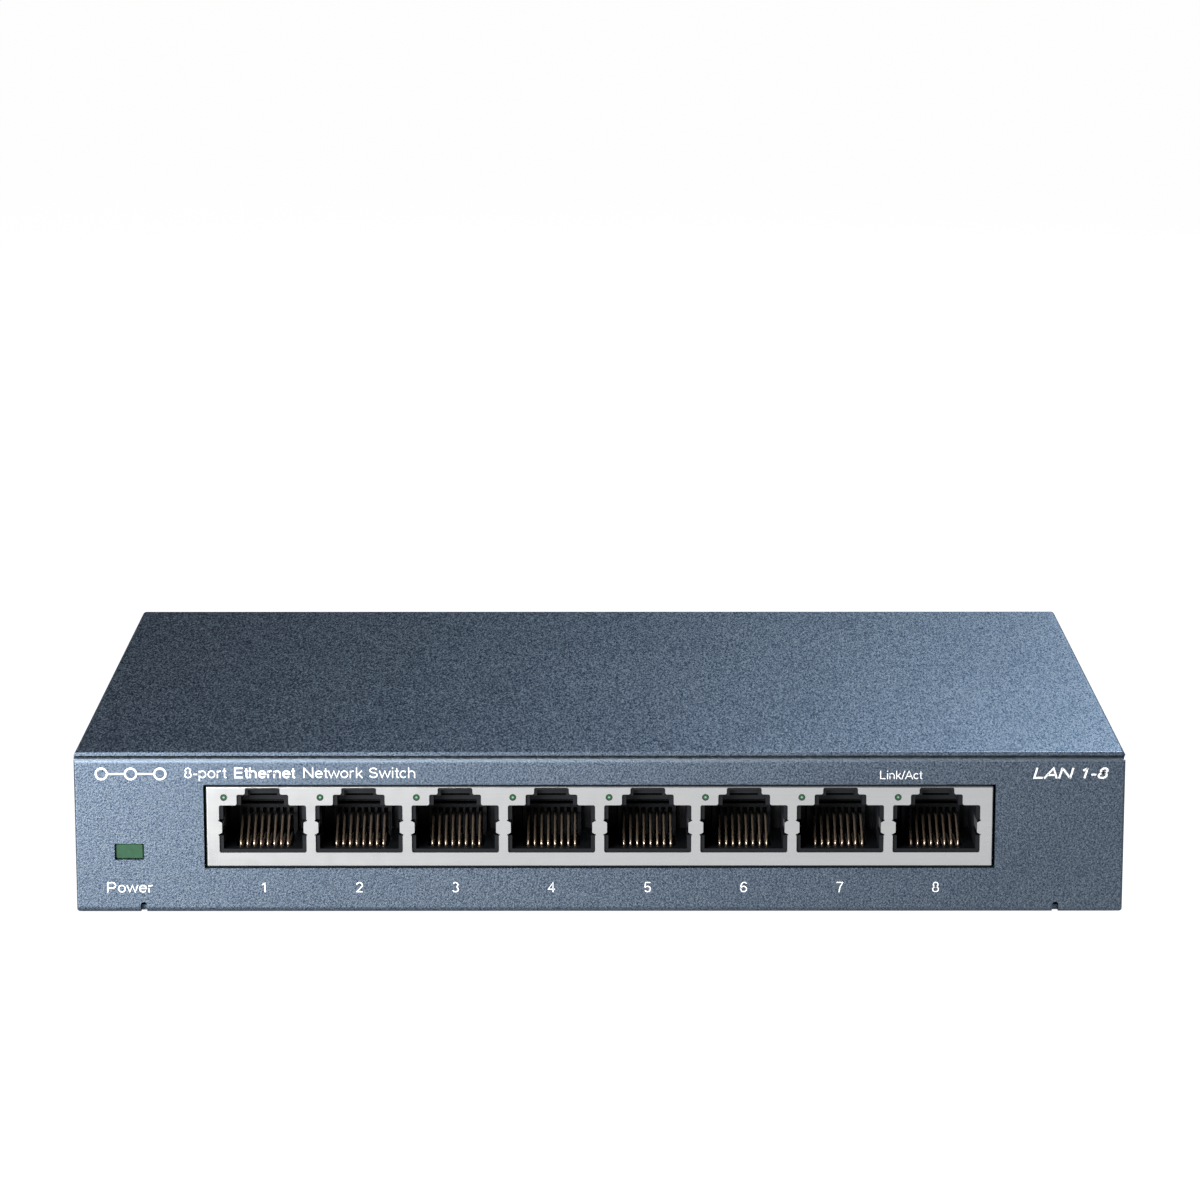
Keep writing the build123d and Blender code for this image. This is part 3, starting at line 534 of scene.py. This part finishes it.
# Plain sans letters: advance width and strokes, in units of the capitals' height.
GLYPHS = {
    " ": (0.39, []),
    "-": (0.465, [[(0.06, 0.36), (0.40, 0.36)]]),
    "/": (0.39, [[(0.02, -0.02), (0.36, 1.0)]]),
    "1": (0.776, [[(0.45, 0.0), (0.45, 0.97)], [(0.20, 0.73), (0.45, 0.94)]]),
    "2": (0.776, [arc(0.39, 0.70, 0.27, 0.25, 168, -32) + [(0.13, 0.06), (0.68, 0.06)]]),
    "3": (0.776, [arc(0.37, 0.735, 0.23, 0.21, 155, -90), arc(0.37, 0.285, 0.27, 0.235, 90, -155)]),
    "4": (0.776, [[(0.53, 0.0), (0.53, 0.95), (0.09, 0.29), (0.71, 0.29)]]),
    "5": (0.776, [[(0.64, 0.94), (0.20, 0.94), (0.14, 0.50)] + arc(0.38, 0.31, 0.27, 0.26, 140, -155)]),
    "6": (0.776, [oval(0.39, 0.31, 0.27, 0.26), arc(0.44, 0.40, 0.33, 0.55, 185, 50)]),
    "7": (0.776, [[(0.09, 0.94), (0.68, 0.94), (0.45, 0.55), (0.32, 0.0)]]),
    "8": (0.776, [oval(0.39, 0.725, 0.22, 0.22), oval(0.39, 0.28, 0.27, 0.235)]),
    "A": (0.93, [[(0.04, 0.0), (0.465, 0.97), (0.89, 0.0)], [(0.20, 0.32), (0.73, 0.32)]]),
    "E": (0.93, [[(0.80, 0.94), (0.14, 0.94), (0.14, 0.06), (0.82, 0.06)], [(0.14, 0.52), (0.76, 0.52)]]),
    "L": (0.776, [[(0.13, 1.0), (0.13, 0.06), (0.70, 0.06)]]),
    "N": (1.0, [[(0.13, 0.0), (0.13, 1.0)], [(0.15, 0.95), (0.85, 0.05)], [(0.87, 0.0), (0.87, 1.0)]]),
    "P": (0.93, [[(0.13, 0.0), (0.13, 0.94)] + arc(0.52, 0.68, 0.27, 0.26, 90, -90) + [(0.13, 0.42)]]),
    "S": (0.93, [arc(0.46, 0.73, 0.29, 0.21, 15, 262) + arc(0.46, 0.285, 0.32, 0.225, 82, -165)]),
    "c": (0.70, [arc(0.37, 0.36, 0.27, 0.31, 42, 318)]),
    "e": (0.776, [[(0.12, 0.38)] + arc(0.39, 0.36, 0.28, 0.31, 4, 322, steps=20)]),
    "h": (0.776, [TALL_STEM, ARCH]),
    "i": (0.31, [[(0.155, 0.0), (0.155, 0.70)], [(0.155, 0.87), (0.155, 1.0)]]),
    "k": (0.70, [TALL_STEM, [(0.58, 0.70), (0.13, 0.24)], [(0.28, 0.40), (0.61, 0.0)]]),
    "n": (0.776, [LOW_STEM, ARCH]),
    "o": (0.776, [oval(0.39, 0.36, 0.28, 0.31)]),
    "p": (0.776, [[(0.12, -0.27), (0.12, 0.70)], oval(0.40, 0.36, 0.27, 0.31)]),
    "r": (0.53, [LOW_STEM, arc(0.37, 0.40, 0.25, 0.265, 180, 78)]),
    "t": (0.39, [[(0.20, 0.92), (0.20, 0.15), (0.25, 0.06), (0.37, 0.05)], [(0.04, 0.66), (0.36, 0.66)]]),
    "w": (1.0, [[(0.04, 0.70), (0.27, 0.04), (0.50, 0.68), (0.73, 0.04), (0.96, 0.70)]]),
}


def pen_line(shape, path, pen):
    """Add one raised pen stroke through (x, z) points on the front wall."""
    points = [Vector(point) for point in path]
    closed = (points[0] - points[-1]).length < 0.01 * pen
    if closed:
        points.pop()
    count = len(points)
    rings = []
    for index, point in enumerate(points):
        before = points[index - 1] if closed or index else point
        after = points[(index + 1) % count] if closed or index < count - 1 else point
        into = (point - before).normalized() if point != before else (after - point).normalized()
        out = (after - point).normalized() if after != point else into
        along = (into + out).normalized()
        reach = pen / 2 / max(along.dot(into), 0.62)
        side = Vector((-along[1], along[0])) * reach
        ring = []
        for edge, raised in ((side, 1.0), (side, 0.0), (-side, 0.0), (-side, 1.0)):
            y = FRONT_Y - raised * PRINT_THICKNESS
            ring.append(Vector((point[0] + edge[0], y, point[1] + edge[1])))
        rings.append(ring)
    skin_rings(shape, rings, closed=closed)


def print_strokes(name, strokes, pen):
    """White print on the front wall, as a piece of the chassis."""
    shape = bmesh.new()
    for path in strokes:
        pen_line(shape, path, pen)
    bmesh.ops.recalc_face_normals(shape, faces=shape.faces)
    mesh = bpy.data.meshes.new(name)
    shape.to_mesh(mesh)
    shape.free()
    mesh.materials.append(print_paint)
    return add_mesh(name, mesh, "label_white")


def print_text(
    name, words, base_z, height, centre_x=None, left_x=None, width=None, pen=THIN_PEN, slant=0.0
):
    """A line of text, placed by its centre or by its left end.

    height is the capitals' height, width the whole line's, and pen the stroke's share of height.
    """
    strokes = []
    advance = 0.0
    for letter in words:
        letter_width, paths = GLYPHS[letter]
        strokes += [[(advance + x + slant * z, z) for x, z in path] for path in paths]
        advance += letter_width
    low = min(x for path in strokes for x, _ in path) - pen / 2
    high = max(x for path in strokes for x, _ in path) + pen / 2
    stretch = width / (high - low) if width else height
    start = centre_x - (high - low) * stretch / 2 if left_x is None else left_x
    placed = [[(start + (x - low) * stretch, base_z + z * height) for x, z in path] for path in strokes]
    return print_strokes(name, placed, pen * height)


port_centres = []
for number in range(1, 9):
    low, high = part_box(f"contact_comb_{number}")
    port_centres.append((low.x + high.x) / 2)

legend_base = CASE_BOTTOM + 3.15 * MM
for number, port_x in enumerate(port_centres, start=1):
    print_text(f"numeral_{number}", str(number), legend_base, LETTER_HEIGHT, port_x)

lens_low, lens_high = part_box("power_light_guide")
lamp_x = (lens_low.x + lens_high.x) / 2
print_text("legend_power", "Power", legend_base, LETTER_HEIGHT, lamp_x, width=6.95 * MM)
link_x = port_centres[7] - 5.4 * MM
link_base = CASE_BOTTOM + 20.75 * MM
print_text("legend_link", "Link/Act", link_base, 1.30 * MM, link_x, width=6.4 * MM)

title_base = CASE_BOTTOM + 20.95 * MM
title_words = [
    # piece, words, left end, width, pen
    ("title_start", "8-port", -62.4 * MM, 6.45 * MM, THIN_PEN),
    ("title_bold", "Ethernet", -54.9 * MM, 9.3 * MM, BOLD_PEN),
    ("title_end", "Network Switch", -44.5 * MM, 16.8 * MM, THIN_PEN),
]
for name, words, left_x, width, pen in title_words:
    print_text(name, words, title_base, LETTER_HEIGHT, left_x=left_x, width=width, pen=pen)

print_text(
    "range_mark",
    "LAN 1-8",
    title_base - 0.1 * MM,
    1.65 * MM,
    centre_x=70.8 * MM,
    width=11.4 * MM,
    pen=0.18,
    slant=0.22,
)

# A plain pictogram of three linked stations stands at the left of the title.
mark_z = CASE_BOTTOM + 21.6 * MM
mark_radius = 0.85 * MM
mark_pen = 0.26 * MM
mark_xs = [lamp_x + offset * MM for offset in (-3.95, 0.45, 4.85)]
mark = [oval(x, mark_z, mark_radius, mark_radius) for x in mark_xs]
for left, right in zip(mark_xs, mark_xs[1:]):
    mark.append([(left + mark_radius, mark_z), (right - mark_radius, mark_z)])
print_strokes("network_mark", mark, mark_pen)


# ---------------------------------------------------------------- stage, camera and light
def stage_floor():
    """A pale floor, just below the feet."""
    floor_size = 12.0
    floor_gap = 0.02 * MM
    mesh = bpy.data.meshes.new("floor")
    shape = bmesh.new()
    bmesh.ops.create_grid(shape, x_segments=1, y_segments=1, size=floor_size / 2)
    shape.to_mesh(mesh)
    shape.free()
    finish = Finish("floor_paint", (0.06, 0.06, 0.06), roughness=0.9)
    tone = finish.noise(0.25, detail=2.0)
    pale = finish.blend(tone, (0.055, 0.055, 0.055), (0.065, 0.065, 0.065))
    finish.set("Base Color", pale)
    finish.set("Emission Color", (1.0, 1.0, 1.0))
    finish.set("Emission Strength", 0.985)
    finish.set("Specular IOR Level", 0.0)
    mesh.materials.append(finish.material)
    floor = bpy.data.objects.new("floor", mesh)
    bpy.context.scene.collection.objects.link(floor)
    floor.location.z = cad_box[0].z - floor_gap


def add_softbox(name, place, aim, size, power, colour=(1.0, 1.0, 1.0)):
    """A rectangular softbox at place, facing aim."""
    data = bpy.data.lights.new(name, "AREA")
    data.shape = "RECTANGLE"
    data.size, data.size_y = size
    data.energy = power
    data.color = colour
    lamp = bpy.data.objects.new(name, data)
    bpy.context.scene.collection.objects.link(lamp)
    lamp.location = place
    lamp.rotation_euler = (Vector(aim) - Vector(place)).to_track_quat("-Z", "Y").to_euler()
    return lamp


def background_light(tree, strength):
    made = tree.nodes.new("ShaderNodeBackground")
    made.inputs["Color"].default_value = (1.0, 1.0, 1.0, 1.0)
    made.inputs["Strength"].default_value = strength
    return made.outputs[0]


def studio_world():
    """The room lights the object dimly, and is pale where it is seen beyond the floor."""
    world = bpy.data.worlds.new("studio")
    world.use_nodes = True
    tree = world.node_tree
    tree.nodes.remove(tree.nodes["Background"])
    seen = tree.nodes.new("ShaderNodeLightPath").outputs["Is Camera Ray"]
    mixed = tree.nodes.new("ShaderNodeMixShader")
    tree.links.new(seen, mixed.inputs[0])
    tree.links.new(background_light(tree, 0.05), mixed.inputs[1])
    tree.links.new(background_light(tree, 0.96), mixed.inputs[2])
    tree.links.new(mixed.outputs[0], tree.nodes["World Output"].inputs["Surface"])
    bpy.context.scene.world = world


def studio_light():
    """Soft light: the front is lit from the left, the lid from the right rear."""
    add_softbox(
        "key_left",
        place=(-0.235, -0.313, 0.075),
        aim=(-0.094, -0.05, 0.02),
        size=(0.26, 0.11),
        power=3.8,
    )
    add_softbox(
        "rear_right",
        place=(0.250, 0.517, 0.412),
        aim=(0.080, 0.008, 0.02),
        size=(0.22, 0.27),
        power=4.25,
    )
    add_softbox(
        "lid_edge",
        place=(0.145, -0.03, 0.24),
        aim=(0.10, -0.045, 0.02),
        size=(0.10, 0.06),
        power=1.25,
        colour=(0.90, 0.99, 1.14),
    )
    add_softbox(
        "front_edge",
        place=(-0.10, -0.20, 0.28),
        aim=(-0.08, -0.05, 0.02),
        size=(0.13, 0.08),
        power=0.3,
    )


def photo_camera():
    """The photograph's viewpoint: straight on, a little above the lid, with a long lens."""
    across = -0.93 * MM
    distance = 620.3 * MM
    height = 180.2 * MM
    pitch = math.radians(11.875)
    yaw = math.radians(0.091)
    data = bpy.data.cameras.new("camera")
    data.sensor_width = 36.0
    data.lens = 127.7
    data.clip_start = 0.01
    data.clip_end = 50.0
    camera = bpy.data.objects.new("camera", data)
    bpy.context.scene.collection.objects.link(camera)
    camera.location = (across, FRONT_Y - distance, height)
    camera.rotation_euler = (math.pi / 2 - pitch, 0.0, -yaw)
    bpy.context.scene.camera = camera


stage_floor()
studio_world()
studio_light()
photo_camera()
bpy.context.scene.view_settings.view_transform = "Standard"
